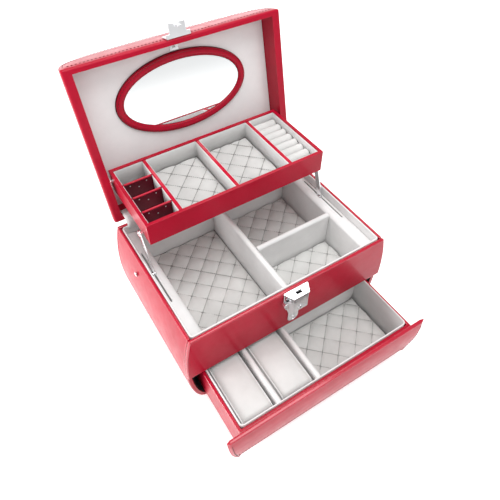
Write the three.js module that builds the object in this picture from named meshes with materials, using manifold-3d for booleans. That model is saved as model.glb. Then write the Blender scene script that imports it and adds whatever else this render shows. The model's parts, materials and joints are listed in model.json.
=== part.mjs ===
// Leather jewellery case: barrel-sided base with a drawer, hinged lid with an oval mirror, and a tray that
// two link arms lift level as the lid opens. Millimetres, +Z up, front towards -Y, origin at the centre of
// the underside. Rest pose: lid open at its stop, tray raised, drawer pulled out.
import * as THREE from 'three'
import { mergeVertices } from 'three/addons/utils/BufferGeometryUtils.js'
import Module from 'manifold-3d'

const wasm = await Module()
wasm.setup()

// ---- driving dimensions
const GAP = 0.3 // air between neighbouring pieces
const RIM_Z = 142 // top of the base
const RIM_HALF = 130 // half width at the rim
const BELLY_HALF = 139.5 // half width where the sides bulge most
const BELLY_Z = 76
const FOOT_HALF = 118 // half width of the flat underside
const HALF_DEPTH = 95.5 // outer faces of the front and back panels
const PANEL = 4.5 // thickness of the front and back panels
const SHELL = 6 // thickness of the curved sides
const BAY_TOP = 70 // lower edge of the front panel, top of the drawer opening
const FOOT_BOARD = 6 // thickness of the bottom board
const RAIL_X = 105 // the two runners under the drawer
const LINER_HALF_X = 124.2
const LINER_HALF_Y = 88.3
const LINER = 2

const OPEN_ANGLE = THREE.MathUtils.degToRad(102.2)
const KNUCKLE_R = 1.8
const HINGE_Y = HALF_DEPTH + GAP + KNUCKLE_R
const LID_DEPTH = 185
const LID_BACK = HINGE_Y - HALF_DEPTH // hinge axis to the lid's rear face
const LID_HEIGHT = 52
const LID_WALL = 8
const LID_FRONT_WALL = 6.2
const LID_INNER_HALF = 119.6
const CEILING = 25 // depth of the lid's hollow
const CEILING_BOARD = 1.2
const ARCH_POWER = 2.9 // the lid outline is a superellipse

const TRAY_HALF = 115.6
const TRAY_FRONT = 15
const TRAY_BACK = 121.6
const TRAY_TOP = 204.9
const TRAY_BOTTOM = 176.4
const TRAY_WALL = 4
const TRAY_DIVIDERS = [-73, -1.5, 71.5]

// Parallelogram linkage: pin P joins lid and tray, pin R is in the base, pin Q joins arm and tray.
const PIN_P = { v: 53.9, w: 7 } // along and above the lid's rim plane, from the hinge axis
const PIN_Q = { y: 33, z: 180.5 }
const PIN_R_RADIUS = 1.7
const PIN_HOLE = 2.1
const ARM_X = [119.3, 120.7]
const ARM_HALF_WIDTH = 4

const INNER_WALL_X = [109.2, 119]
const INNER_WALL_TOP = 130.5
const SLOT_X = 121
const SLOT_Y = [-32, 50]
const SLOT_BOTTOM = 108
const TRUNNION = 1.2 // how far pin R's pocket reaches past the slot on each side
const FLOOR_Z = 74.5
const PAD = { left: 3.4, rear: 6.4, front: 9.4, drawer: 3.4 } // thickness of the quilted pads
const DIVIDER_X = [-6, 1]
const CROSS_Y = [-20, -13]
const REAR_WALL_Y = 82

const DRAWER_OUT = 84
const DRAWER_HALF = 121.5
const DRAWER_WALL = 4
const DRAWER_BOTTOM = 12.5
const DRAWER_TOP = 66
const DRAWER_LINING_TOP = 69
const DRAWER_FRONT_Z = [4.5, 69.2]
const DRAWER_DIVIDERS = [-67, -13]
const DRAWER_CROSS_Y = [1, 4] // wall behind the part of the drawer that comes out of the case

const LOCK_Z = 120 // key cylinder axis
const LOBE_RADIUS = 7.5 // rounded lower end of the lock's base plate
const LOBE_Z = 85.5
const LOCK_HALF = 15.5 // half width of the lock's base plate
const TONGUE_V = 199.6 // from the hinge axis to the middle of the hasp's tongue

// ---- materials
function material(color, roughness, metalness = 0) {
  return new THREE.MeshStandardMaterial({ color, roughness, metalness })
}
const LEATHER = material(0xb8163c, 0.28)
const DARK_LEATHER = material(0x56101f, 0.5)
const SUEDE = material(0xd6d3cf, 0.95)
const CUSHION = material(0xe9e7e3, 0.9)
const BLACK = material(0x14110f, 0.9)
const CHROME = material(0xd4d6d8, 0.12, 1)
const SILVER = material(0xf2f4f6, 0.03, 1)

// ---- shape helpers
const caseGroup = new THREE.Group()
const baseGroup = new THREE.Group()
const lidGroup = new THREE.Group()
const trayGroup = new THREE.Group()
const drawerGroup = new THREE.Group()
caseGroup.add(baseGroup, lidGroup, trayGroup, drawerGroup)
lidGroup.position.set(0, HINGE_Y, RIM_Z)
lidGroup.rotation.x = -OPEN_ANGLE
drawerGroup.position.y = -DRAWER_OUT

function add(group, name, geometry, look) {
  const mesh = new THREE.Mesh(geometry, look)
  mesh.name = name
  group.add(mesh)
  return mesh
}

function block(x0, x1, y0, y1, z0, z1) {
  const geometry = new THREE.BoxGeometry(x1 - x0, y1 - y0, z1 - z0)
  return geometry.translate((x0 + x1) / 2, (y0 + y1) / 2, (z0 + z1) / 2)
}

function polygon(points) {
  return new THREE.Shape(points.map(([a, b]) => new THREE.Vector2(a, b)))
}

// An outline in X and Z, drawn out along Y from y0 to y1.
function alongY(shape, y0, y1, curveSegments = 8) {
  const geometry = new THREE.ExtrudeGeometry(shape, { depth: y1 - y0, bevelEnabled: false, curveSegments })
  return geometry.rotateX(Math.PI / 2).translate(0, y1, 0)
}

// An outline in Y and Z, drawn out along X from x0 to x1.
function alongX(shape, x0, x1, curveSegments = 8) {
  const geometry = new THREE.ExtrudeGeometry(shape, { depth: x1 - x0, bevelEnabled: false, curveSegments })
  return geometry.rotateX(Math.PI / 2).rotateZ(Math.PI / 2).translate(x0, 0, 0)
}

// An outline in X and Y, drawn up along Z from z0 to z1.
function alongZ(shape, z0, z1, curveSegments = 8) {
  const geometry = new THREE.ExtrudeGeometry(shape, { depth: z1 - z0, bevelEnabled: false, curveSegments })
  return geometry.translate(0, 0, z0)
}

function rodX(radius, x0, x1, y, z, segments = 16) {
  const geometry = new THREE.CylinderGeometry(radius, radius, x1 - x0, segments)
  return geometry.rotateZ(Math.PI / 2).translate((x0 + x1) / 2, y, z)
}

function rodY(radius, y0, y1, x, z, segments = 20) {
  const geometry = new THREE.CylinderGeometry(radius, radius, y1 - y0, segments)
  return geometry.translate(x, (y0 + y1) / 2, z)
}

function mirrorX(geometry) {
  const copy = geometry.clone()
  const position = copy.getAttribute('position')
  for (let i = 0; i < position.count; i += 1) position.setX(i, -position.getX(i))
  const flat = copy.index ? copy.toNonIndexed() : copy
  const points = flat.getAttribute('position')
  const corner = new THREE.Vector3()
  for (let i = 0; i < points.count; i += 3) {
    corner.fromBufferAttribute(points, i)
    points.setXYZ(i, points.getX(i + 1), points.getY(i + 1), points.getZ(i + 1))
    points.setXYZ(i + 1, corner.x, corner.y, corner.z)
  }
  return flat
}

function toSolid(geometry) {
  const bare = geometry.clone()
  bare.deleteAttribute('normal')
  bare.deleteAttribute('uv')
  const merged = mergeVertices(bare, 1e-4)
  const vertProperties = new Float32Array(merged.getAttribute('position').array)
  const triVerts = new Uint32Array(merged.index.array)
  return new wasm.Manifold(new wasm.Mesh({ numProp: 3, vertProperties, triVerts }))
}

function toGeometry(solid) {
  const mesh = solid.getMesh()
  const geometry = new THREE.BufferGeometry()
  geometry.setAttribute('position', new THREE.BufferAttribute(new Float32Array(mesh.vertProperties), 3))
  geometry.setIndex(new THREE.BufferAttribute(new Uint32Array(mesh.triVerts), 1))
  geometry.computeVertexNormals()
  return geometry
}

function cut(geometry, tools) {
  return toGeometry(tools.reduce((solid, tool) => solid.subtract(toSolid(tool)), toSolid(geometry)))
}

function join(pieces) {
  return toGeometry(pieces.slice(1).reduce((solid, piece) => solid.add(toSolid(piece)), toSolid(pieces[0])))
}

function common(pieces) {
  return toGeometry(pieces.slice(1).reduce((solid, piece) => solid.intersect(toSolid(piece)), toSolid(pieces[0])))
}

function both(group, name, geometry, look) {
  add(group, `${name}_right`, geometry, look)
  add(group, `${name}_left`, mirrorX(geometry), look)
}

// ---- outlines
// Barrel curve of the sides, from the rim down and under to the flat foot, moved inwards by inset.
function barrelCurve(inset) {
  const rim = new THREE.Vector2(RIM_HALF - inset, RIM_Z)
  const belly = new THREE.Vector2(BELLY_HALF - inset, BELLY_Z)
  const foot = new THREE.Vector2(FOOT_HALF, inset)
  const shoulder = new THREE.Vector2(rim.x + 6, 122)
  const aboveBelly = new THREE.Vector2(belly.x, 100)
  const belowBelly = new THREE.Vector2(belly.x, 44)
  const turnUnder = new THREE.Vector2(134 - inset, inset)
  const upper = new THREE.CubicBezierCurve(rim, shoulder, aboveBelly, belly)
  const lower = new THREE.CubicBezierCurve(belly, belowBelly, turnUnder, foot)
  return [...upper.getPoints(7), ...lower.getPoints(10).slice(1)]
}

function barrelHalfAt(z, inset) {
  const points = barrelCurve(inset)
  const i = points.findIndex((point) => point.y <= z)
  const a = points[Math.max(i - 1, 0)]
  const b = points[i]
  return a.y === b.y ? b.x : a.x + ((b.x - a.x) * (a.y - z)) / (a.y - b.y)
}

// The barrel outline between two heights, as one closed shape.
function barrelPlate(z0, z1, inset = 0) {
  const inside = barrelCurve(inset).filter((point) => point.y < z1 - 1 && point.y > z0 + 1)
  const right = [[barrelHalfAt(z1, inset), z1], ...inside.map((point) => [point.x, point.y])]
  const foot = z0 <= 0 ? [[FOOT_HALF, 0]] : [[barrelHalfAt(z0, inset), z0]]
  const half = [...right, ...foot]
  return polygon([...half, ...half.map(([x, z]) => [-x, z]).reverse()])
}

function archHalfAt(w) {
  return RIM_HALF * (1 - (w / LID_HEIGHT) ** ARCH_POWER) ** (1 / ARCH_POWER)
}

function archSide(w0, w1, steps) {
  const points = []
  for (let i = 0; i <= steps; i += 1) {
    const w = w0 + ((w1 - w0) * i) / steps
    points.push([archHalfAt(w), w])
  }
  return points
}

// Points of the arch from height w0 to the crown, closer together where it flattens.
function archFrom(w0) {
  const heights = [w0, 10, 20, 28, 34, 39, 43, 46.5, 49, 50.7, 51.6].filter((w, i) => i === 0 || w > w0 + 1)
  const right = heights.map((w) => [archHalfAt(w), w])
  return polygon([...right, [0, LID_HEIGHT], ...right.map(([x, w]) => [-x, w]).reverse()])
}

function ellipse(a, b, x, y) {
  const shape = new THREE.Shape()
  shape.absellipse(x, y, a, b, 0, Math.PI * 2, false, 0)
  return shape
}

// A wall section whose top edge is half round.
function roundTopped(x0, x1, z0, z1) {
  const radius = (x1 - x0) / 2
  const shape = new THREE.Shape()
  shape.moveTo(x0, z0)
  shape.lineTo(x1, z0)
  shape.lineTo(x1, z1 - radius)
  shape.absarc((x0 + x1) / 2, z1 - radius, radius, 0, Math.PI, false)
  shape.closePath()
  return shape
}

// ---- base
const SIDE_Y = HALF_DEPTH - PANEL - GAP

function buildSides() {
  const outer = barrelCurve(0).map((point) => [point.x, point.y])
  const inner = barrelCurve(SHELL).map((point) => [point.x, point.y])
  inner[0] = [LINER_HALF_X + LINER + GAP, RIM_Z]
  both(baseGroup, 'base_side', alongY(polygon([...outer, ...inner.reverse()]), -SIDE_Y, SIDE_Y), LEATHER)
}

function buildPanels() {
  add(baseGroup, 'base_back_panel', alongY(barrelPlate(0, RIM_Z), HALF_DEPTH - PANEL, HALF_DEPTH), LEATHER)
  const front = alongY(barrelPlate(BAY_TOP, RIM_Z), -HALF_DEPTH, PANEL - HALF_DEPTH)
  add(baseGroup, 'base_front_panel', front, LEATHER)
  const foot = FOOT_HALF - GAP
  const board = block(-foot, foot, -SIDE_Y, SIDE_Y, 0, FOOT_BOARD)
  const railTop = DRAWER_BOTTOM - GAP
  const rails = [-RAIL_X, RAIL_X].map((x) => block(x - 3, x + 3, -86, 88, FOOT_BOARD - 1, railTop))
  add(baseGroup, 'base_bottom', join([board, ...rails]), BLACK)
  const inside = barrelHalfAt((BAY_TOP + FLOOR_Z) / 2, SHELL) - 2 * GAP
  add(baseGroup, 'mid_floor', block(-inside, inside, -SIDE_Y, SIDE_Y, BAY_TOP + GAP, FLOOR_Z), BLACK)
}

function rectangle(x0, x1, y0, y1) {
  return polygon([[x0, y0], [x1, y0], [x1, y1], [x0, y1]])
}

function buildLining() {
  const x = LINER_HALF_X
  const y = LINER_HALF_Y
  const ring = rectangle(-x - LINER, x + LINER, -y - LINER, y + LINER)
  ring.holes.push(rectangle(-x, x, -y, y))
  add(baseGroup, 'base_lining', alongZ(ring, FLOOR_Z + GAP, RIM_Z), SUEDE)
}

// The padded wall beside the compartments, with the slot that the link arm folds down into.
function buildSideWalls() {
  const [x0, x1] = INNER_WALL_X
  const outer = LINER_HALF_X - GAP
  const y = LINER_HALF_Y - GAP
  const bottom = FLOOR_Z + GAP
  const round = 5
  const section = new THREE.Shape()
  section.moveTo(x0, bottom)
  section.lineTo(outer, bottom)
  section.lineTo(outer, INNER_WALL_TOP)
  section.lineTo(x1, INNER_WALL_TOP)
  section.absellipse(x1, INNER_WALL_TOP - round, x1 - x0, round, Math.PI / 2, Math.PI, false, 0)
  section.closePath()
  const slot = block(x1, SLOT_X, SLOT_Y[0], SLOT_Y[1], SLOT_BOTTOM, INNER_WALL_TOP + 5)
  const pivot = armPivot()
  const wide = [x1 - TRUNNION, SLOT_X + TRUNNION]
  const pocket = block(wide[0], wide[1], pivot.y - 3, pivot.y + 3, pivot.z - 3, INNER_WALL_TOP + 5)
  both(baseGroup, 'side_wall', cut(alongY(section, -y, y), [slot, pocket]), SUEDE)
}

function buildCompartments() {
  const bottom = FLOOR_Z + GAP
  const top = INNER_WALL_TOP - 0.5
  const y = LINER_HALF_Y - GAP
  const x = INNER_WALL_X[0] - GAP
  const [d0, d1] = DIVIDER_X
  const [c0, c1] = CROSS_Y
  add(baseGroup, 'rear_wall', block(-x, x, REAR_WALL_Y, y, bottom, top), SUEDE)
  add(baseGroup, 'centre_divider', alongY(roundTopped(d0, d1, bottom, top), -y, REAR_WALL_Y - GAP), SUEDE)
  add(baseGroup, 'cross_divider', alongX(roundTopped(c0, c1, bottom, top), d1 + GAP, x), SUEDE)
  const back = REAR_WALL_Y - GAP
  add(baseGroup, 'floor_pad_left', block(-x, d0 - GAP, -y, back, bottom, bottom + PAD.left), SUEDE)
  add(baseGroup, 'floor_pad_rear', block(d1 + GAP, x, c1 + GAP, back, bottom, bottom + PAD.rear), SUEDE)
  add(baseGroup, 'floor_pad_front', block(d1 + GAP, x, -y, c0 - GAP, bottom, bottom + PAD.front), SUEDE)
}

// ---- lid
// Drawn closed with its hinge axis on the X axis: y is minus the distance from the hinge, z the height above
// the rim.
function buildLid() {
  const back = -LID_BACK
  const front = back - LID_DEPTH
  const innerBack = back - LID_WALL
  const innerFront = front + LID_FRONT_WALL
  const sideTop = CEILING + CEILING_BOARD
  const half = LID_INNER_HALF
  const side = polygon([...archSide(GAP, sideTop, 5), [half, sideTop], [half, GAP]])
  add(lidGroup, 'lid_front_wall', alongY(archFrom(GAP), front, innerFront), LEATHER)
  add(lidGroup, 'lid_back_wall', alongY(archFrom(GAP), innerBack, back), LEATHER)
  both(lidGroup, 'lid_side', alongY(side, innerFront + GAP, innerBack - GAP), LEATHER)
  add(lidGroup, 'lid_top', alongY(archFrom(CEILING + 1.5), innerFront + GAP, innerBack - GAP), LEATHER)
  const ceiling = block(GAP - half, half - GAP, innerFront + GAP, innerBack - GAP, CEILING, sideTop)
  add(lidGroup, 'lid_ceiling', ceiling, SUEDE)
}

const MIRROR_X = 1.5
const MIRROR_V = 123
const MIRROR = { a: 75, b: 35.5, frame: 8.5 } // semi-axes of the glass, width of its padded frame

function buildMirror() {
  const top = CEILING - GAP
  const { a, b, frame } = MIRROR
  const oval = ellipse(a + 0.5 + frame, b + 0.5 + frame, MIRROR_X, -MIRROR_V)
  oval.holes.push(ellipse(a + 0.5, b + 0.5, MIRROR_X, -MIRROR_V))
  add(lidGroup, 'mirror_frame', alongZ(oval, CEILING - 4.2, top, 24), LEATHER)
  add(lidGroup, 'mirror_glass', alongZ(ellipse(a, b, MIRROR_X, -MIRROR_V), top - 2, top, 24), SILVER)
  const plate = block(-4.5, 6, -178.4, -169.2, top - 1.2, top)
  add(lidGroup, 'lid_inner_plate', cut(plate, [alongZ(ellipse(1.6, 1.6, 0.8, -173.8), 20, 26, 4)]), CHROME)
}

function buildHasp() {
  const face = -LID_BACK - LID_DEPTH - GAP
  const step = face - 4.5
  const tip = face - 15
  const wide = [[10, step], [14.5, step], [14.5, face], [-14.5, face], [-14.5, step], [-10, step]]
  const flange = alongZ(polygon([[-10, tip], [10, tip], ...wide]), GAP, 2)
  const upstand = block(-14.5, 14.5, face - 1.2, face, GAP, 14)
  const tongue = block(-2.5, 2.5, -TONGUE_V - 1, -TONGUE_V + 1, -7, 1)
  const catchHole = block(-1.2, 1.2, -TONGUE_V - 2, -TONGUE_V + 2, -5.4, -2.6)
  add(lidGroup, 'hasp_plate', cut(join([flange, upstand, tongue]), [catchHole]), CHROME)
}

// ---- hinges: two butt hinges on the rear faces
const HINGE_LENGTH = 40
const HINGE_X = 70
const KNUCKLES = 5
const PIN_RADIUS = 0.8
const LEAF = [0.9, 1.7] // distance of the leaf's faces from the hinge axis, towards the case
const LEAF_HEIGHT = 12

function knuckle(index, x) {
  const pitch = HINGE_LENGTH / KNUCKLES
  const x0 = x - HINGE_LENGTH / 2 + index * pitch + GAP / 2
  return [x0, x0 + pitch - GAP]
}

// One leaf with its knuckles: side -1 hangs below the axis and carries the pin (base), side +1 stands above
// it (lid).
function hingeLeaf(x, first, side) {
  const near = KNUCKLE_R + GAP
  const z = side < 0 ? [-LEAF_HEIGHT, -near] : [near, LEAF_HEIGHT]
  const pieces = [block(x - HINGE_LENGTH / 2, x + HINGE_LENGTH / 2, -LEAF[1], -LEAF[0], z[0], z[1])]
  for (let i = first; i < KNUCKLES; i += 2) {
    const [x0, x1] = knuckle(i, x)
    pieces.push(rodX(KNUCKLE_R, x0, x1, 0, 0))
    const tab = side < 0 ? [-near - 0.1, -0.2] : [0.2, near + 0.1]
    pieces.push(block(x0, x1, -LEAF[1], -LEAF[0], tab[0], tab[1]))
  }
  const pin = rodX(PIN_RADIUS, x - HINGE_LENGTH / 2, x + HINGE_LENGTH / 2, 0, 0, 12)
  const hole = rodX(PIN_RADIUS + 0.35, x - HINGE_LENGTH, x + HINGE_LENGTH, 0, 0)
  return side < 0 ? join([...pieces, pin]) : cut(join(pieces), [hole])
}

function buildHinges() {
  for (const [name, x] of [['left', -HINGE_X], ['right', HINGE_X]]) {
    add(baseGroup, `hinge_base_leaf_${name}`, hingeLeaf(x, 0, -1).translate(0, HINGE_Y, RIM_Z), CHROME)
    add(lidGroup, `hinge_lid_leaf_${name}`, hingeLeaf(x, 1, 1), CHROME)
  }
}

// ---- tray
function lidPoint(v, w) {
  const c = Math.cos(OPEN_ANGLE)
  const s = Math.sin(OPEN_ANGLE)
  return { y: HINGE_Y - v * c + w * s, z: RIM_Z + v * s + w * c }
}

function buildTray() {
  const wall = TRAY_WALL
  const x = TRAY_HALF
  const inX = x - wall
  const front = TRAY_FRONT + wall
  const back = TRAY_BACK - wall
  const pin = lidPoint(PIN_P.v, PIN_P.w)
  const floorTop = TRAY_BOTTOM + 3
  const outside = block(-x, x, TRAY_FRONT, TRAY_BACK, TRAY_BOTTOM, TRAY_TOP)
  const inside = block(-inX, inX, front, back, floorTop, TRAY_TOP + 5)
  const pinHoles = [-1, 1].map((side) => rodX(PIN_HOLE, side * x - 8, side * x + 8, pin.y, pin.z))
  add(trayGroup, 'tray_box', cut(outside, [inside, ...pinHoles]), LEATHER)
  const y0 = front + GAP
  const y1 = back - GAP
  TRAY_DIVIDERS.forEach((centre, i) => {
    const divider = block(centre - 2, centre + 2, y0, y1, floorTop + GAP, TRAY_TOP - 0.3)
    add(trayGroup, `tray_divider_${i + 1}`, divider, LEATHER)
  })
  buildTrayFittings(floorTop + GAP, y0, y1, inX)
}

const ROLLS = 8
const PANELS = [88.8, 63.2, 37.8]

function buildTrayFittings(floor, y0, y1, inX) {
  const [d1, d2, d3] = TRAY_DIVIDERS
  const edge = 2 + GAP
  PANELS.forEach((y, i) => {
    const x0 = -inX + GAP
    const x1 = d1 - edge
    const holes = [[0.22, 14], [0.5, 9], [0.78, 14]].map(([t, up]) => {
      return rodY(0.9, y - 5, y + 5, x0 + (x1 - x0) * t, floor + 6 + up, 8)
    })
    const panel = cut(block(x0, x1, y - 1, y + 1, floor, TRAY_TOP - 0.6), holes)
    add(trayGroup, `earring_panel_${i + 1}`, panel, DARK_LEATHER)
  })
  add(trayGroup, 'tray_pad_left', block(d1 + edge, d2 - edge, y0, y1, floor, floor + 3), SUEDE)
  add(trayGroup, 'tray_pad_right', block(d2 + edge, d3 - edge, y0, y1, floor, floor + 3), SUEDE)
  const rolls = ringRolls(y0, y1, floor, floor + 6)
  add(trayGroup, 'ring_rolls', alongX(rolls, d3 + edge, inX - GAP, 7), CUSHION)
}

// Section of the ring cushion: a flat base with half-round rolls side by side on it.
function ringRolls(y0, y1, z0, z1) {
  const radius = (y1 - y0) / ROLLS / 2
  const section = new THREE.Shape()
  section.moveTo(y0, z0)
  section.lineTo(y1, z0)
  section.lineTo(y1, z1)
  for (let i = ROLLS - 1; i >= 0; i -= 1) {
    const centre = y0 + radius * (2 * i + 1)
    section.absellipse(centre, z1 + 4, radius - 0.15, radius + 1, 0, Math.PI, false, 0)
    if (i > 0) section.lineTo(y0 + radius * 2 * i, z1 + 1)
  }
  section.lineTo(y0, z1)
  section.closePath()
  return section
}

// ---- link arms and their pins
// Pin R: the arm is as long as, and parallel to, the line from the hinge axis to pin P.
function armPivot() {
  const p = lidPoint(PIN_P.v, PIN_P.w)
  return { y: PIN_Q.y - (p.y - HINGE_Y), z: PIN_Q.z - (p.z - RIM_Z) }
}

function buildArms() {
  const r = armPivot()
  const lean = Math.atan2(PIN_Q.z - r.z, PIN_Q.y - r.y)
  const shape = new THREE.Shape()
  shape.absarc(r.y, r.z, ARM_HALF_WIDTH, lean + Math.PI / 2, lean + (3 * Math.PI) / 2, false)
  shape.absarc(PIN_Q.y, PIN_Q.z, ARM_HALF_WIDTH, lean - Math.PI / 2, lean + Math.PI / 2, false)
  shape.closePath()
  const hole = rodX(PIN_HOLE, ARM_X[0] - 5, ARM_X[1] + 5, PIN_Q.y, PIN_Q.z)
  const bar = cut(alongX(shape, ARM_X[0], ARM_X[1]), [hole])
  const reach = TRUNNION - GAP
  const trunnion = rodX(PIN_R_RADIUS, INNER_WALL_X[1] - reach, SLOT_X + reach, r.y, r.z)
  both(baseGroup, 'link_arm', join([bar, trunnion]), CHROME)
  const stem = rodX(PIN_R_RADIUS, TRAY_HALF + GAP, ARM_X[1] + 0.6, PIN_Q.y, PIN_Q.z)
  const head = rodX(3, ARM_X[1] + GAP, ARM_X[1] + 1, PIN_Q.y, PIN_Q.z)
  both(trayGroup, 'arm_tray_pin', join([stem, head]), CHROME)
  const plate = block(LID_INNER_HALF - 1.2, LID_INNER_HALF - GAP, -PIN_P.v - 6, -PIN_P.v + 6, PIN_P.w - 5, PIN_P.w + 6)
  const stub = rodX(PIN_R_RADIUS, TRAY_HALF - TRAY_WALL + 1, 119, -PIN_P.v, PIN_P.w)
  both(lidGroup, 'tray_pivot', join([plate, stub]), CHROME)
  const screw = rodX(3, 0, 1.4, 32.5, 120.4)
  both(baseGroup, 'side_screw', screw.translate(barrelHalfAt(117.4, 0) + GAP, 0, 0), CHROME)
}

// ---- lock on the front panel
function buildLock() {
  const face = -HALF_DEPTH - GAP
  const plateFront = face - 1
  const shield = new THREE.Shape()
  shield.moveTo(-LOCK_HALF, 141.4)
  shield.lineTo(-LOCK_HALF, 122)
  shield.bezierCurveTo(-LOCK_HALF, 113, -8.5, 108, -LOBE_RADIUS, 96)
  shield.absarc(0, LOBE_Z, LOBE_RADIUS, Math.PI, Math.PI * 2, false)
  shield.lineTo(LOBE_RADIUS, 96)
  shield.bezierCurveTo(8.5, 108, LOCK_HALF, 113, LOCK_HALF, 122)
  shield.lineTo(LOCK_HALF, 141.4)
  shield.closePath()
  const back = plateFront - GAP
  const front = back - 10.5
  const plan = alongZ(polygon([[-10, front], [10, front], [14, back], [-14, back]]), 90, 140)
  const outline = new THREE.Shape()
  outline.moveTo(-14, 139.5)
  outline.lineTo(-14, 123)
  outline.bezierCurveTo(-13, 114, -7, 108, 0, 104)
  outline.bezierCurveTo(7, 108, 13, 114, 14, 123)
  outline.lineTo(14, 139.5)
  outline.closePath()
  const nose = alongX(polygon([[front, 140], [front, 114.5], [back - 2, 103], [back, 103], [back, 140]]), -16, 16)
  const solid = common([plan, alongY(outline, front - 5, back + 5, 6), nose])
  const tongueY = HINGE_Y - TONGUE_V
  const pocket = block(-3.6, 3.6, tongueY - 2, tongueY + 2, 132, 150)
  const bore = rodY(3.7, front - 5, front + 6, 0, LOCK_Z)
  add(baseGroup, 'lock_case', cut(solid, [pocket, bore]), CHROME)
  const flap = polygon([[-10.5, front - 0.6], [10.5, front - 0.6], [16.5, face - 0.5], [-16.5, face - 0.5]])
  const top = alongZ(flap, 139.8, 141.4)
  add(baseGroup, 'lock_base_plate', cut(join([alongY(shield, plateFront, face, 6), top]), [pocket]), CHROME)
  const core = rodY(3.4, front - 0.8, front + 5.6, 0, LOCK_Z)
  const keySlot = block(-0.6, 0.6, front - 5, front + 3, LOCK_Z - 2.2, LOCK_Z + 2.2)
  add(baseGroup, 'key_cylinder', cut(core, [keySlot]), CHROME)
  const thumbPlate = block(-18, -14.4, back - 6.5, back - 1, 122, 131)
  const thumbRib = block(-19, -17, back - 6, back - 1.5, 125, 128)
  add(baseGroup, 'lock_slider', join([thumbPlate, thumbRib]), CHROME)
}

// ---- drawer, drawn closed and pulled out by its group
function buildDrawer() {
  const [z0, z1] = DRAWER_FRONT_Z
  add(drawerGroup, 'drawer_front', alongY(barrelPlate(z0, z1, 1), -HALF_DEPTH, PANEL - HALF_DEPTH), LEATHER)
  const x = DRAWER_HALF
  const wall = DRAWER_WALL
  const y0 = PANEL - HALF_DEPTH + GAP
  const y1 = 84
  const inX = x - wall
  const innerFront = y0 + wall
  const innerBack = y1 - wall
  const floorTop = DRAWER_BOTTOM + 3.2
  const inside = block(-inX, inX, innerFront, innerBack, floorTop, DRAWER_TOP + 5)
  add(drawerGroup, 'drawer_box', cut(block(-x, x, y0, y1, DRAWER_BOTTOM, DRAWER_TOP), [inside]), LEATHER)
  const lx = inX - GAP
  const ly0 = innerFront + GAP
  const ly1 = innerBack - GAP
  const thin = 1.2
  const ring = rectangle(-lx, lx, ly0, ly1)
  ring.holes.push(rectangle(-lx + thin, lx - thin, ly0 + thin, ly1 - thin))
  add(drawerGroup, 'drawer_lining', alongZ(ring, floorTop + GAP, DRAWER_LINING_TOP), SUEDE)
  buildDrawerFittings(lx - thin - GAP, ly0 + thin + GAP, floorTop + GAP)
}

function buildDrawerFittings(x, y0, floor) {
  const half = 3
  const [c0, c1] = DRAWER_CROSS_Y
  const back = c0 - GAP
  add(drawerGroup, 'drawer_cross_wall', block(-x, x, c0, c1, floor, DRAWER_LINING_TOP - 2), SUEDE)
  DRAWER_DIVIDERS.forEach((centre, i) => {
    const section = roundTopped(centre - half, centre + half, floor, DRAWER_LINING_TOP - 2)
    add(drawerGroup, `drawer_divider_${i + 1}`, alongY(section, y0, back), SUEDE)
  })
  const [d1, d2] = DRAWER_DIVIDERS
  const columns = [[-x, d1 - half - GAP], [d1 + half + GAP, d2 - half - GAP]]
  columns.forEach(([x0, x1], i) => {
    const pillow = block(x0 + 0.6, x1 - 0.6, y0 + 0.6, back - 0.6, floor, DRAWER_LINING_TOP - 6)
    add(drawerGroup, `watch_cushion_${i + 1}`, pillow, CUSHION)
  })
  add(drawerGroup, 'drawer_pad', block(d2 + half + GAP, x, y0, back, floor, floor + PAD.drawer), SUEDE)
}

buildSides()
buildPanels()
buildLining()
buildSideWalls()
buildCompartments()
buildLid()
buildMirror()
buildHasp()
buildHinges()
buildTray()
buildArms()
buildLock()
buildDrawer()

export default caseGroup
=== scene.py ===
"""Leather jewellery case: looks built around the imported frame.

Every length below is in millimetres and becomes metres through MM. Places come from the frame's own boxes,
and the lid's pieces are laid out in the closed lid's frame: v runs from the hinge axis to the lid's front,
w rises from the rim plane into the lid.
"""
import json
import math

import bmesh
import bpy
import numpy as np
from mathutils import Matrix, Vector


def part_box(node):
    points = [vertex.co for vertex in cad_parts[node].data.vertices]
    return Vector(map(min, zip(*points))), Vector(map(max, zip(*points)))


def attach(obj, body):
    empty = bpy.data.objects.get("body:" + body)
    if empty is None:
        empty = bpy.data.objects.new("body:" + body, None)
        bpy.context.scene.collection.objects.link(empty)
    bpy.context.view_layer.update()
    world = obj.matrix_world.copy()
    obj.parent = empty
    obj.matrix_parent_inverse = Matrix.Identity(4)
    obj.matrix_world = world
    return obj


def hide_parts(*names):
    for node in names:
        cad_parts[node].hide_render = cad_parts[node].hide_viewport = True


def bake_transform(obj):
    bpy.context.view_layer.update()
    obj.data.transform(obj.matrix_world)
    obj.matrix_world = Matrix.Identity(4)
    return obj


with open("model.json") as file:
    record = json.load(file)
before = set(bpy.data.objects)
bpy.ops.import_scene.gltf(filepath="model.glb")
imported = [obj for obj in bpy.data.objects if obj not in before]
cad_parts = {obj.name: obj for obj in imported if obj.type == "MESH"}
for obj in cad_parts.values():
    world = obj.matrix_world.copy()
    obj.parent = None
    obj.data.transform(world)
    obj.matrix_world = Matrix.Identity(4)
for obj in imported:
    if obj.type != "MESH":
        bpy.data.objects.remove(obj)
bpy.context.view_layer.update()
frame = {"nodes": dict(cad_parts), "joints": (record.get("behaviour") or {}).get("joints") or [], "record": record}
MM = 0.001

# ---- camera, light and floor
CAMERA_TARGET = Vector((-7.25, -13.99, 128.59)) * MM
CAMERA_DISTANCE = 570.5 * MM
CAMERA_AZIMUTH = math.radians(-31.92)
CAMERA_ELEVATION = math.radians(49.59)
CAMERA_ROLL = math.radians(-0.46)
CAMERA_LENS = 34.17
FLOOR_GLOW = 0.45  # the floor is a lit white table, so that it stays white round the object


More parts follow.
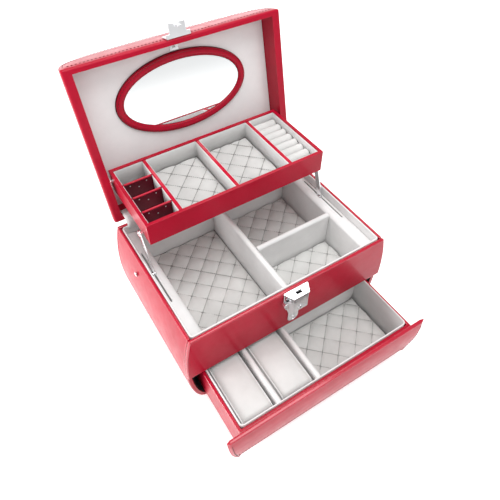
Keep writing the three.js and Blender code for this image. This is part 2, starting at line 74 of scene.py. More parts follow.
def make_camera():
    back = Vector((
        math.sin(CAMERA_AZIMUTH) * math.cos(CAMERA_ELEVATION),
        -math.cos(CAMERA_AZIMUTH) * math.cos(CAMERA_ELEVATION),
        math.sin(CAMERA_ELEVATION),
    ))
    level = Vector((0, 0, 1)).cross(back).normalized()
    upright = back.cross(level)
    right = math.cos(CAMERA_ROLL) * level + math.sin(CAMERA_ROLL) * upright
    up = back.cross(right)
    data = bpy.data.cameras.new("camera")
    data.lens = CAMERA_LENS
    data.sensor_width = 36
    data.clip_start = 0.01
    camera = bpy.data.objects.new("camera", data)
    place = CAMERA_TARGET + back * CAMERA_DISTANCE
    axes = Matrix((right, up, back)).transposed().to_4x4()
    camera.matrix_world = Matrix.Translation(place) @ axes
    bpy.context.scene.collection.objects.link(camera)
    bpy.context.scene.camera = camera


def area_light(name, place, target, size, power):
    data = bpy.data.lights.new(name, "AREA")
    data.shape = "RECTANGLE"
    data.size, data.size_y = size
    data.energy = power
    light = bpy.data.objects.new(name, data)
    light.location = place
    light.rotation_euler = (Vector(target) - Vector(place)).to_track_quat("-Z", "Y").to_euler()
    bpy.context.scene.collection.objects.link(light)


def make_stage():
    middle = (0, 0, 0.12)
    area_light("top_softbox", (0.0, -0.15, 1.5), middle, (1.1, 1.1), 17)
    area_light("left_softbox", (-1.25, 0.3, 0.45), middle, (0.4, 0.9), 14)
    area_light("front_fill", (0.4, -1.5, 1.5), middle, (1.4, 0.8), 9)
    area_light("back_softbox", (0.45, 1.5, 0.32), (0, 0.1, 0.3), (1.8, 0.4), 5)
    area_light("rear_panel", (0.7, 1.0, 1.7), middle, (0.8, 0.8), 6)
    make_world()
    make_floor()


def make_world():
    world = bpy.data.worlds.new("studio")
    world.use_nodes = True
    background = world.node_tree.nodes["Background"]
    background.inputs["Color"].default_value = (1, 1, 1, 1)
    background.inputs["Strength"].default_value = 0.4
    bpy.context.scene.world = world
    bpy.context.scene.view_settings.view_transform = "Standard"
    bpy.context.scene.view_settings.look = "None"


def make_floor():
    bpy.ops.mesh.primitive_plane_add(size=9, location=(0, 0, -0.0004))
    floor = bpy.context.object
    floor.name = "floor"
    floor.data.materials.append(floor_material())


# ---- materials
class Nodes:
    """Short calls for building one node material."""

    def __init__(self, name):
        self.material = bpy.data.materials.new(name)
        self.material.use_nodes = True
        self.tree = self.material.node_tree
        self.shader = self.tree.nodes["Principled BSDF"]
        self.place = self.add("ShaderNodeTexCoord").outputs["Object"]

    def add(self, kind, **values):
        """A new node with its inputs set."""
        node = self.tree.nodes.new(kind)
        for key, value in values.items():
            node.inputs[key.replace("_", " ")].default_value = value
        return node

    def link(self, source, target):
        self.tree.links.new(source, target)

    def noise(self, scale, detail=3.0, roughness=0.55, stretch=None):
        node = self.add("ShaderNodeTexNoise", Scale=scale, Detail=detail, Roughness=roughness)
        self.link(self.stretched(stretch), node.inputs["Vector"])
        return node.outputs["Fac"]

    def stretched(self, stretch):
        if stretch is None:
            return self.place
        mapping = self.add("ShaderNodeMapping", Scale=stretch)
        self.link(self.place, mapping.inputs["Vector"])
        return mapping.outputs["Vector"]

    def cells(self, scale):
        node = self.add("ShaderNodeTexVoronoi", Scale=scale)
        node.feature = "DISTANCE_TO_EDGE"
        self.link(self.place, node.inputs["Vector"])
        return node.outputs["Distance"]

    def span(self, source, low, high, start=0.3, end=0.7):
        node = self.add("ShaderNodeMapRange", From_Min=start, From_Max=end, To_Min=low, To_Max=high)
        self.link(source, node.inputs["Value"])
        return node.outputs["Result"]

    def mix(self, factor, first, second):
        node = self.add("ShaderNodeMix")
        node.data_type = "RGBA"
        for index, value in ((6, first), (7, second)):
            if isinstance(value, tuple):
                node.inputs[index].default_value = (*value, 1)
            else:
                self.link(value, node.inputs[index])
        self.link(factor, node.inputs[0])
        return node.outputs[2]

    def bump(self, heights):
        """Chains (source, depth in mm) bumps into the shader's normal."""
        normal = None
        for source, depth in heights:
            node = self.add("ShaderNodeBump", Strength=1, Distance=depth * MM)
            self.link(source, node.inputs["Height"])
            if normal is not None:
                self.link(normal, node.inputs["Normal"])
            normal = node.outputs["Normal"]
        self.link(normal, self.shader.inputs["Normal"])

    def set(self, **values):
        for key, value in values.items():
            self.shader.inputs[key.replace("_", " ")].default_value = value


def leather_material(name, deep, bright, roughness, coat, shine=0.14, coat_ior=1.35):
    """Smooth glazed leather: fine pebble grain, faint creases, slightly uneven gloss and colour."""
    n = Nodes(name)
    tone = n.mix(n.span(n.noise(24, 4), 0, 1), deep, bright)
    worn = tuple(min(1, c * 1.5 + 0.01) for c in bright)
    rubbed = n.mix(n.span(n.noise(260, 3), 0, 0.1), tone, worn)
    n.link(rubbed, n.shader.inputs["Base Color"])
    n.link(n.span(n.noise(90, 3), roughness - 0.04, roughness + 0.06), n.shader.inputs["Roughness"])
    n.bump([
        (n.noise(14, 1), 0.25),
        (n.span(n.cells(1150), 0, 1, 0, 0.35), 0.004),
        (n.noise(2300, 2), 0.003),
    ])
    n.set(Coat_Weight=coat, Coat_Roughness=0.1, Coat_IOR=coat_ior, Specular_IOR_Level=shine)
    return n.material


def suede_material(name, deep, bright, fuzz=0.05):
    """Short-napped pale cloth: soft mottling where the nap lies differently, fine fibres."""
    n = Nodes(name)
    brushed = n.span(n.noise(34, 5, 0.6), 0, 1)
    n.link(n.mix(brushed, deep, bright), n.shader.inputs["Base Color"])
    n.link(n.span(n.noise(700, 3), 0.86, 0.98), n.shader.inputs["Roughness"])
    n.bump([(n.noise(140, 4), 0.08), (n.noise(2600, 3, 0.7), fuzz)])
    n.set(Sheen_Weight=0.35, Sheen_Roughness=0.45, Specular_IOR_Level=0.2)
    n.shader.inputs["Sheen Tint"].default_value = (1, 1, 1, 1)
    return n.material


def cloth_material(name, color):
    """Plain woven lining cloth: two crossed families of threads."""
    n = Nodes(name)
    scale = 1500
    across = n.noise(scale, 2, stretch=(1, 0.12, 0.12))
    along = n.noise(scale, 2, stretch=(0.12, 1, 1))
    n.link(n.mix(across, tuple(c * 0.75 for c in color), color), n.shader.inputs["Base Color"])
    n.link(n.span(along, 0.8, 0.95), n.shader.inputs["Roughness"])
    n.bump([(across, 0.05), (along, 0.05)])
    n.set(Specular_IOR_Level=0.25)
    return n.material


def chrome_material(name, roughness=0.09):
    """Chrome plate with faint polishing marks and slightly uneven gloss."""
    n = Nodes(name)
    marks = n.noise(420, 3, stretch=(1, 0.06, 0.06))
    n.link(n.mix(n.noise(60, 2), (0.86, 0.87, 0.89), (0.95, 0.95, 0.96)), n.shader.inputs["Base Color"])
    n.link(n.span(marks, roughness - 0.03, roughness + 0.05), n.shader.inputs["Roughness"])
    n.bump([(marks, 0.004), (n.noise(120, 1), 0.02)])
    n.set(Metallic=1.0)
    return n.material


def mirror_material():
    n = Nodes("mirror_silver")
    n.link(n.mix(n.noise(12, 2), (0.93, 0.95, 0.96), (0.97, 0.98, 0.98)), n.shader.inputs["Base Color"])
    n.link(n.span(n.noise(30, 2), 0.012, 0.03), n.shader.inputs["Roughness"])
    n.set(Metallic=1.0)
    return n.material


def thread_material(name, color):
    n = Nodes(name)
    n.link(n.mix(n.noise(900, 2), tuple(c * 0.7 for c in color), color), n.shader.inputs["Base Color"])
    n.link(n.span(n.noise(2000, 2), 0.55, 0.75), n.shader.inputs["Roughness"])
    n.bump([(n.noise(3500, 1), 0.03)])
    return n.material


def floor_material():
    n = Nodes("studio_floor")
    n.link(n.mix(n.noise(3, 2), (0.93, 0.93, 0.93), (0.95, 0.95, 0.95)), n.shader.inputs["Base Color"])
    n.set(Roughness=0.9, Specular_IOR_Level=0.1, Emission_Strength=FLOOR_GLOW)
    n.shader.inputs["Emission Color"].default_value = (1, 1, 1, 1)
    return n.material


LEATHER = leather_material("crimson_leather", (0.35, 0.001, 0.017), (0.41, 0.002, 0.023), 0.34, 0.2)
TRIM = leather_material("crimson_edge", (0.42, 0.003, 0.022), (0.50, 0.006, 0.032), 0.3, 0.4)
# lighter, glossier leather for the faces of the rolled edges: its lighter red is a painted highlight along them,
# and the stronger coat catches the lamps
EDGE = leather_material("edge_leather_painted_highlight", (0.39, 0.002, 0.020), (0.46, 0.004, 0.028), 0.24, 0.7, 0.3, 1.6)
BURGUNDY = leather_material("burgundy_leather", (0.075, 0.003, 0.010), (0.12, 0.004, 0.014), 0.42, 0.3)
SUEDE = suede_material("grey_suede", (0.66, 0.655, 0.65), (0.74, 0.735, 0.73))
QUILT = suede_material("quilted_suede", (0.57, 0.566, 0.55), (0.64, 0.636, 0.62))
# a darker copy of the quilted suede for the tray's pads: painted shade, since the cloth is the same as on the
# floor pads
SHADED_TRAY_QUILT = suede_material("tray_quilt_painted_shade", (0.49, 0.487, 0.475), (0.56, 0.557, 0.545))
LID_CLOTH = suede_material("lid_suede", (0.76, 0.757, 0.755), (0.82, 0.818, 0.815))
PLUSH = suede_material("white_plush", (0.57, 0.566, 0.555), (0.64, 0.636, 0.625), 0.03)
BLACK = cloth_material("bay_black", (0.012, 0.011, 0.011))
CHROME = chrome_material("chrome_plate")
STEEL = chrome_material("shaded_steel", 0.2)
SATIN = chrome_material("satin_chrome", 0.3)
MIRROR = mirror_material()
THREAD = thread_material("dark_thread", (0.014, 0.003, 0.004))
# black for pieces that stand in for shade: painted shadow deep in the tongue's pocket and in the keyhole
SHADOW_BLACK = thread_material("painted_shadow_black", (0.012, 0.012, 0.012))
# thread along the quilting seams: real stitching, made dark grey so that it also paints the shade in the seam
# grooves
SEAM = thread_material("seam_thread_painted_shade", (0.26, 0.26, 0.25))
BODIES = frame["record"]["behaviour"]["bodies"]
BODY_OF = {node: body for body, nodes in BODIES.items() for node in nodes}


# ---- piece helpers
def piece(name, bm, material, body, nodes=(), weighted=False, edge=None):
    """Adds a finished bmesh as a visible piece that rides on a body, if given, and stands for some CAD nodes.

    Faces with material index 1 take the edge material.
    """
    mesh = bpy.data.meshes.new(name)
    bm.to_mesh(mesh)
    bm.free()
    for polygon in mesh.polygons:
        polygon.use_smooth = True
    thing = bpy.data.objects.new(name, mesh)
    bpy.context.scene.collection.objects.link(thing)
    mesh.materials.append(material)
    if edge:
        mesh.materials.append(edge)
    if weighted:
        modifier = thing.modifiers.new("normals", "WEIGHTED_NORMAL")
        modifier.weight = 70
        modifier.keep_sharp = True
    if body:
        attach(thing, body)
    if nodes:
        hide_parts(*nodes)
    return thing


def from_points(points, faces, merge=1e-6):
    """A bmesh from points in metres and index faces, with close points merged and its normals facing out."""
    bm = bmesh.new()
    corners = [bm.verts.new(point) for point in points]
    for face in faces:
        bm.faces.new([corners[i] for i in face])
    if merge:
        bmesh.ops.remove_doubles(bm, verts=bm.verts, dist=merge)
    bmesh.ops.recalc_face_normals(bm, faces=bm.faces)
    return bm


def shifted(faces, step):
    return [tuple(step + k for k in face) for face in faces]


def grid_faces(rows, columns, wrap_rows=False, wrap_columns=False):
    """Four-sided faces between points laid out row by row."""
    faces = []
    for i in range(rows if wrap_rows else rows - 1):
        for j in range(columns if wrap_columns else columns - 1):
            a, b = i * columns + j, i * columns + (j + 1) % columns
            c, d = ((i + 1) % rows) * columns + (j + 1) % columns, ((i + 1) % rows) * columns + j
            faces.append((a, b, c, d))
    return faces


def grid_border(rows, columns):
    """The outer points of a grid laid out row by row, in order round it."""
    border = [i * columns for i in range(rows)]
    border += [(rows - 1) * columns + j for j in range(1, columns)]
    border += [i * columns + columns - 1 for i in range(rows - 2, -1, -1)]
    return border + [j for j in range(columns - 2, 0, -1)]


def ring_of_points(centre, side, up, radius, count):
    """Points in metres round a circle, from the side direction towards up."""
    turns = [2 * math.pi * j / count for j in range(count)]
    return [centre + side * math.cos(turn) * radius + up * math.sin(turn) * radius for turn in turns]


def tube_faces(rings, sides):
    """Faces of a closed round bar given ring by ring."""
    ends = [tuple(range(sides)), tuple((rings - 1) * sides + j for j in range(sides))]
    return grid_faces(rings, sides, wrap_columns=True) + ends


def skin_faces(rows, columns):
    """Faces of a thin closed skin: two grids of points, one after the other, joined round their border."""
    layer = rows * columns
    faces = grid_faces(rows, columns)
    faces += shifted(faces, layer)
    border = grid_border(rows, columns)
    for a, b in zip(border, border[1:] + border[:1]):
        faces.append((a, b, layer + b, layer + a))
    return faces


# faces of a block whose eight corners are given as two loops of four
BLOCK_FACES = [(0, 3, 2, 1), (4, 5, 6, 7)] + [(k, (k + 1) % 4, 4 + (k + 1) % 4, 4 + k) for k in range(4)]


def round_edges(bm, width, segments, sharp, material=-1):
    """Rounds every edge that turns by more than sharp degrees; the new faces take the material index."""
    edges = [e for e in bm.edges if len(e.link_faces) == 2 and e.calc_face_angle(0) > math.radians(sharp)]
    bmesh.ops.bevel(
        bm, geom=edges, offset=width * MM, offset_type="OFFSET", segments=segments, profile=0.5,
        affect="EDGES", clamp_overlap=True, material=material,
    )


def refined(node, material, width, segments=3, sharp=32, edge=None):
    """The node's own shape with soft rounded edges, shown in its place."""
    bm = bmesh.new()
    bm.from_mesh(frame["nodes"][node].data)
    bmesh.ops.remove_doubles(bm, verts=bm.verts, dist=2e-5)
    bmesh.ops.dissolve_limit(bm, angle_limit=math.radians(0.5), verts=bm.verts, edges=bm.edges)
    round_edges(bm, width, segments, sharp, 1 if edge else -1)
    return piece(f"{node}_shell", bm, material, BODY_OF[node], (node,), weighted=True, edge=edge)


# ---- the closed lid's frame
HINGE = next(joint for joint in frame["joints"] if joint["name"] == "lid_hinge")
HINGE_POINT = Vector(HINGE["pos_m"])
LID_TURN = Matrix.Rotation(-math.radians(HINGE["range_deg"][1]), 3, "X")


def lid_place(x, v, w):
    """Row-frame point of a point given in the closed lid's frame, in metres."""
    return HINGE_POINT + LID_TURN @ Vector((x, -v, w))


def lid_points(node):
    """Every vertex of a node of the lid as (x, v, w), in mm."""
    back = LID_TURN.transposed()
    points = np.array([back @ (vertex.co - HINGE_POINT) for vertex in frame["nodes"][node].data.vertices])
    return points * (1, -1, 1) / MM


def lid_box(node):
    """Lowest and highest (x, v, w) of a node of the lid, in mm."""
    points = lid_points(node)
    return points.min(0), points.max(0)


def box_mm(node):
    """Lowest and highest corner of a node, in mm."""
    low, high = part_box(node)
    return low / MM, high / MM


# ---- stitching
STITCH_PITCH = 4.2
STITCH_LENGTH = 2.6
STITCH_RADIUS = 0.5
STITCH_SINK = 0.12  # how far a stitch's axis lies below the surface at its middle; twice that at its ends
STITCH_BLUNT = 0.06  # share of the section left at a stitch's ends
STITCH_RINGS = 5
STITCH_SIDES = 6


def resample(points, pitch):
    """Points at equal steps along a polyline, with the direction of travel at each."""
    points = [Vector(point) for point in points]
    lengths = [0.0]
    for a, b in zip(points, points[1:]):
        lengths.append(lengths[-1] + (b - a).length)
    count = max(2, round(lengths[-1] / pitch))
    out = []
    k = 0
    for i in range(count):
        along = (i + 0.5) * lengths[-1] / count
        while k < len(points) - 2 and lengths[k + 1] < along:
            k += 1
        step = points[k + 1] - points[k]
        out.append((points[k] + step * ((along - lengths[k]) / step.length), step.normalized()))
    return out


def stitch_row(name, points, normal, body):
    """One row of thread stitches lying on a surface along points, as one piece."""
    return stitch_rows(name, [points], normal, body, THREAD)


def stitch_rows(
    name, rows, normal, body, material, pitch=STITCH_PITCH, length=STITCH_LENGTH, thick=STITCH_RADIUS,
):
    """Rows of thread stitches, each lying on a surface along its row of points, as one piece."""
    up = Vector(normal).normalized()
    verts, faces = [], []
    for middle, along in [step for points in rows for step in resample(points, pitch * MM)]:
        side = along.cross(up).normalized()
        first = len(verts)
        for t in np.linspace(-1, 1, STITCH_RINGS):
            radius = thick * MM * math.sqrt(max(STITCH_BLUNT, 1 - t * t))
            centre = middle + along * (t * length / 2 * MM) - up * STITCH_SINK * (1 + abs(t)) * MM
            verts += ring_of_points(centre, side, up, radius, STITCH_SIDES)
        faces += shifted(tube_faces(STITCH_RINGS, STITCH_SIDES), first)
    return piece(name, from_points(verts, faces, merge=0), material, body)


# ---- soft pieces
QUILT_CELL = 20.0
QUILT_STEP = 1.1  # grid step of a quilted pad's mesh
QUILT_PUFF = 0.42  # the smaller, the steeper a cell rises from its seams
QUILT_BORDER = 3.0  # width of the border that is sewn down
SEAM_PITCH, SEAM_LENGTH, SEAM_RADIUS = 2.7, 2.5, 0.5
SEAM_RISE = 0.95  # height of a seam's thread over the pad's sewn-down top


def quilted_pad(node, material=QUILT, inset=0.3, crown=3.6, phase=(0.0, 0.0)):
    """A pad sewn in diamonds: each cell puffs up between the seam lines, and the border is sewn down."""
    low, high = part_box(node)
    size_x, size_y = (high.x - low.x) / MM - 2 * inset, (high.y - low.y) / MM - 2 * inset
    nx, ny = round(size_x / QUILT_STEP) + 1, round(size_y / QUILT_STEP) + 1
    base = low.z / MM
    edge_height = (high.z - low.z) / MM - 1.5
    diagonal = math.sqrt(2) * QUILT_CELL
    verts = []
    for i in range(nx):
        for j in range(ny):
            x, y = size_x * i / (nx - 1), size_y * j / (ny - 1)
            a, b = (x + y + phase[0]) / diagonal, (x - y + phase[1]) / diagonal
            puff = (abs(math.sin(math.pi * a)) * abs(math.sin(math.pi * b))) ** QUILT_PUFF
            rim = max(0.0, min(x, y, size_x - x, size_y - y))
            border = min(1.0, rim / QUILT_BORDER) ** 0.5
            wave = 0.12 * math.sin(0.31 * x + 1.3 * phase[0]) * math.cos(0.23 * y + 0.7)
            top = base + edge_height * (0.45 + 0.55 * border) + (crown * puff + wave) * border
            verts.append(Vector((low.x / MM + inset + x, low.y / MM + inset + y, top)) * MM)
    count = nx * ny
    edge = grid_border(nx, ny)
    verts += [Vector((verts[k].x, verts[k].y, (base + 0.05) * MM)) for k in edge]
    faces = grid_faces(nx, ny)
    for k in range(len(edge)):
        following = (k + 1) % len(edge)
        faces.append((edge[k], edge[following], count + following, count + k))
    faces.append(tuple(count + k for k in range(len(edge))))
    pad = piece(f"{node}_quilt", from_points(verts, faces), material, BODY_OF[node], (node,))
    corner = Vector((low.x / MM + inset, low.y / MM + inset, base + edge_height + SEAM_RISE))
    rows = [[(corner + Vector(end)) * MM for end in line] for line in seam_lines(size_x, size_y, phase)]
    stitch_rows(
        f"{node}_seams", rows, (0, 0, 1), BODY_OF[node], SEAM, SEAM_PITCH, SEAM_LENGTH, SEAM_RADIUS)


def seam_lines(size_x, size_y, phase):
    """Both families of diagonal seams of a quilted pad, cut off just inside its border."""
    margin = 2.5
    pitch = math.sqrt(2) * QUILT_CELL
    lines = []
    for k in range(-20, 40):
        c = k * pitch - phase[0]
        x0, x1 = max(margin, c - size_y + margin), min(size_x - margin, c - margin)
        if x1 - x0 > margin:
            lines.append([(x0, c - x0, 0), (x1, c - x1, 0)])
        c = k * pitch - phase[1]
        x0, x1 = max(margin, margin + c), min(size_x - margin, size_y - margin + c)
        if x1 - x0 > margin:
            lines.append([(x0, x0 - c, 0), (x1, x1 - c, 0)])
    return lines


PILLOW_POWER = 8.0  # the higher, the later a cushion's top rolls over to its sides
PILLOW_CROWN = 0.1  # swell of a cushion's middle, as a share of half its thickness


def pillow_lift(su, sv):
    """Height of a stuffed block's top as a share of half its thickness, at places from -1 to 1 across it."""
    round_x = (1 - abs(su) ** PILLOW_POWER) ** (1 / 2.2)
    round_y = (1 - abs(sv) ** (PILLOW_POWER * 2)) ** (1 / 2.2)
    swell = PILLOW_CROWN * (1 - su * su) * (1 - 0.5 * sv * sv)
    return round_x * round_y, round_x * round_y * (1 - PILLOW_CROWN + swell)


def pillow_mesh(low, high, nx=34, ny=60):
    """A stuffed block between two corners in mm: crowned top, sides that roll over to a seam line."""
    size, middle = high - low, (low + high) / 2
    verts = []
    for top in (True, False):
        for i in range(nx + 1):
            for j in range(ny + 1):
                u, v = -1 + 2 * i / nx, -1 + 2 * j / ny
                su, sv = math.sin(u * math.pi / 2), math.sin(v * math.pi / 2)
                under, over = pillow_lift(su, sv)
                pull = 1 - 0.02 * abs(su) * abs(sv)
                verts.append(Vector((
                    middle.x + su * size.x / 2 * pull,
                    middle.y + sv * size.y / 2 * pull,
                    middle.z + size.z / 2 * (over if top else -0.96 * under),
                )) * MM)
    faces = grid_faces(nx + 1, ny + 1)
    return from_points(verts, faces + shifted(faces, (nx + 1) * (ny + 1)), merge=2e-5)


def tube(name, points, radius, material, body, closed=False, sides=10):
    """A round bead along points, as one mesh piece."""
    count = len(points)
    verts = []
    for i, point in enumerate(points):
        before = points[i - 1] if i or closed else point
        after = points[(i + 1) % count] if i < count - 1 or closed else point
        along = (after - before).normalized()
        side = along.cross(Vector((0, 0, 1)))
        side = side.normalized() if side.length > 1e-3 else Vector((1, 0, 0))
        verts += ring_of_points(point, side, side.cross(along), radius * MM, sides)
    if closed:
        faces = grid_faces(count, sides, wrap_rows=True, wrap_columns=True)
    else:
        faces = tube_faces(count, sides)
    return piece(name, from_points(verts, faces), material, body)


def rounded_rectangle(x0, x1, y0, y1, radius, steps=8):
    """Outline points of a rectangle with round corners, counter-clockwise."""
    points = []
    for cx, cy, start in (
        (x1 - radius, y1 - radius, 0), (x0 + radius, y1 - radius, 90),
        (x0 + radius, y0 + radius, 180), (x1 - radius, y0 + radius, 270),
    ):
        for i in range(steps + 1):
            turn = math.radians(start + 90 * i / steps)
            points.append((cx + radius * math.cos(turn), cy + radius * math.sin(turn)))
    return points


def lining_ring(name, box, thickness, z0, z1, radius, material, body, nodes=()):
    """A wall of lining round the inside of a compartment, with a soft rounded top edge."""
    x0, x1, y0, y1 = box
    half = thickness / 2
    section = [(0, z0), (0, z1 - half)]
    for i in range(1, 6):
        turn = math.pi * i / 6
        section.append((half * (1 - math.cos(turn)), z1 - half * (1 - math.sin(turn))))
    section += [(thickness, z1 - half), (thickness, z0)]
    verts = []
    for inset, z in section:
        ring = rounded_rectangle(x0 + inset, x1 - inset, y0 + inset, y1 - inset, max(0.3, radius - inset))
        verts += [Vector((x, y, z)) * MM for x, y in ring]
    faces = grid_faces(len(section), len(verts) // len(section), wrap_rows=True, wrap_columns=True)
    return piece(name, from_points(verts, faces), material, body, nodes)


# ---- base
def outline_half(node):
    """Half width of a node's XZ outline as a function of height, both in mm."""
    points = {(round(v.co.z / MM, 2), round(v.co.x / MM, 2)) for v in frame["nodes"][node].data.vertices}
    right = sorted(point for point in points if point[1] > 20)
    heights = [point[0] for point in right]
    halves = [point[1] for point in right]
    return lambda z: float(np.interp(z, heights, halves))


barrel_half = outline_half("base_back_panel")
BAY_FLOOR = 6.4  # height of the drawer bay's floor
BAY_WALL = 6.35  # the side's thickness, with a gap behind the cloth
BAY_CLOTH = 0.5
PANEL_SEAM = 5  # how far the back panel's stitches stand in from its edges


def build_base():
    for side in ("left", "right"):
        refined(f"base_side_{side}", LEATHER, 1.5, 4, edge=EDGE)
        refined(f"side_wall_{side}", SUEDE, 1.1, 3)
    refined("base_front_panel", LEATHER, 1.8, 5, edge=EDGE)
    refined("base_back_panel", LEATHER, 1.8, 5, edge=EDGE)
    refined("rear_wall", SUEDE, 1.5, 4)
    refined("centre_divider", SUEDE, 0.4, 2, 50)
    refined("cross_divider", SUEDE, 0.4, 2, 50)
    low, high = box_mm("base_lining")
    ring = (low.x, high.x, low.y, high.y)
    lining_ring("base_lining_cloth", ring, 2.0, low.z, high.z, 4, SUEDE, "case", ("base_lining",))
    quilted_pad("floor_pad_left", phase=(4, 6))
    quilted_pad("floor_pad_rear", phase=(11, 3))
    quilted_pad("floor_pad_front", phase=(2, 9))
    for node in ("base_bottom", "mid_floor"):
        set_material(node, BLACK)
    build_bay_lining()
    build_panel_stitching()


def set_material(node, material):
    mesh = frame["nodes"][node].data
    mesh.materials.clear()
    mesh.materials.append(material)


def build_bay_lining():
    """Black cloth on the inside of the drawer bay: thin skins on the curved sides."""
    low, high = box_mm("mid_floor")
    heights = np.linspace(BAY_FLOOR, low.z - 0.3, 25)
    for side, sign in (("left", -1), ("right", 1)):
        verts = []
        for thick in (0, BAY_CLOTH):
            for z in heights:
                slope = (barrel_half(z + 1) - barrel_half(z - 1)) / 2
                inset = BAY_WALL * math.sqrt(1 + slope * slope) + thick
                x = sign * max(100, barrel_half(z) - inset)
                verts += [Vector((x, y, z)) * MM for y in (low.y + 0.2, high.y - 0.4)]
        piece(f"bay_cloth_{side}", from_points(verts, skin_faces(len(heights), 2)), BLACK, "case")


def build_panel_stitching():
    low, high = box_mm("base_back_panel")
    heights = np.linspace(low.z + PANEL_SEAM + 2, high.z - PANEL_SEAM, 31)
    right = [Vector((barrel_half(z) - PANEL_SEAM, high.y, z)) * MM for z in heights]
    left = [Vector((-point.x, point.y, point.z)) for point in reversed(right)]
    stitch_row("back_panel_stitches", [*right, *left, right[0]], (0, 1, 0), "case")


# ---- lid
def arch_outline():
    """Right half of the lid's arch as (half width, height above the rim) in mm, from rim to crown."""
    right = {(round(w, 2), round(x, 2)) for x, _, w in lid_points("lid_front_wall") if x > -0.01}
    return [(x, w) for w, x in sorted(right)]


def build_lid():
    build_lid_leather()
    refined("lid_ceiling", LID_CLOTH, 0.35, 2)
    build_lid_stitching()
    build_mirror()
    build_hinge_cloth()


ARCH_POWER = 2.9
LID_HEIGHT = 52
LID_ROUND = 2.4  # radius of the lid's rolled edges
LID_CORNER = 2.5  # radius of the corners at the rim
FRONT_LEAN = 5.5  # how far the front falls back between rim and crown
LID_SEAM = 4.5  # how far the stitches stand in from the lid's arch
LID_RIM_SEAM = 7.5  # height of the front's lower row of stitches


def lid_front_swell(inset):
    """How far the padded front stands out at a distance from its edge."""
    return float(np.interp(inset, (LID_ROUND, 5, 9, 14, 20), (0, 0.2, 0.4, 0.5, 0.5)))


def front_fall(w):
    """How far the front has fallen back at a height above the rim."""
    return FRONT_LEAN * (w / LID_HEIGHT) ** 2


def arch_loop(inset, half, crown):
    """Closed outline of the lid as (x, w): rim corner, over the crown, other corner, and back along the rim."""
    a, h, low = half - inset, crown - inset, 0.3 + inset
    r = LID_CORNER
    right = [(a - r + r * math.cos(t), low + r - r * math.sin(t)) for t in np.linspace(math.pi / 2, 0, 5)]
    start = math.asin(((low + r) / h) ** (ARCH_POWER / 2))
    for t in np.linspace(start, math.pi / 2, 22)[1:]:
        right.append((a * max(0, math.cos(t)) ** (2 / ARCH_POWER), h * math.sin(t) ** (2 / ARCH_POWER)))
    left = [(-x, w) for x, w in reversed(right[:-1])]
    rim = [(x, low) for x in np.linspace(r - a, a - r, 14)[1:-1]]
    return right + left + rim


def build_lid_leather():
    """The lid as one leather skin: arched from back to front, padded front, hollow up to the ceiling board."""
    front_low, front_high = lid_box("lid_front_wall")
    back_low, back_high = lid_box("lid_back_wall")
    ceiling_high = lid_box("lid_ceiling")[1]
    v0, v1 = back_low[1], front_high[1]
    half, crown = front_high[0], front_high[2]
    turns = np.radians(np.linspace(0, 90, 6))
    stations = [(LID_ROUND * (1 - math.sin(t)), v0 + LID_ROUND * (1 - math.cos(t))) for t in turns]
    stations += [(0, v0 + (v1 - v0) * i / 8) for i in range(1, 8)]
    stations += [(LID_ROUND * (1 - math.cos(t)), v1 - LID_ROUND * (1 - math.sin(t))) for t in turns]
    stations += [(d, v1 + lid_front_swell(d)) for d in (3.6, 5, 7, 9, 11.5, 14, 17, 20)]
    middle = (v0 + v1) / 2
    verts = []
    for inset, v in stations:
        share = max(0, (v - middle) / (v1 - middle))
        for x, w in arch_loop(inset, half, crown):
            verts.append(lid_place(x * MM, (v - front_fall(w) * share) * MM, w * MM))
    body = from_points(verts, tube_faces(len(stations), len(verts) // len(stations)))
    inner = ceiling_high[0] + 0.3
    loop = [(-inner, back_high[1]), (inner, back_high[1]), (inner, front_low[1]), (-inner, front_low[1])]
    hollow = [lid_place(x * MM, v * MM, w * MM) for w in (-5, ceiling_high[2] + 0.1) for x, v in loop]
    bm = difference(body, from_points(hollow, BLOCK_FACES))
    round_edges(bm, 1.8, 4, 50, 1)
    nodes = ("lid_front_wall", "lid_back_wall", "lid_side_left", "lid_side_right", "lid_top")
    piece("lid_leather", bm, LEATHER, "lid", nodes, weighted=True, edge=EDGE)


def difference(body, cutter):
    """body minus cutter, both closed bmeshes, as a new bmesh."""
    things = []
    for name, bm in (("body", body), ("cutter", cutter)):
        data = bpy.data.meshes.new(name)
        bm.to_mesh(data)
        bm.free()
        thing = bpy.data.objects.new(name, data)
        bpy.context.scene.collection.objects.link(thing)
        things.append(thing)
    modifier = things[0].modifiers.new("cut", "BOOLEAN")
    modifier.operation = "DIFFERENCE"
    modifier.solver = "EXACT"
    modifier.object = things[1]
    solid = things[0].evaluated_get(bpy.context.evaluated_depsgraph_get())
    result = bmesh.new()
    result.from_mesh(solid.to_mesh())
    solid.to_mesh_clear()
    for thing in things:
        data = thing.data
        bpy.data.objects.remove(thing)
        bpy.data.meshes.remove(data)
    bmesh.ops.remove_doubles(result, verts=result.verts, dist=1e-6)
    return result


HINGE_CLOTH_RADIUS = 9.6
HINGE_CLOTH_THICK = 0.5


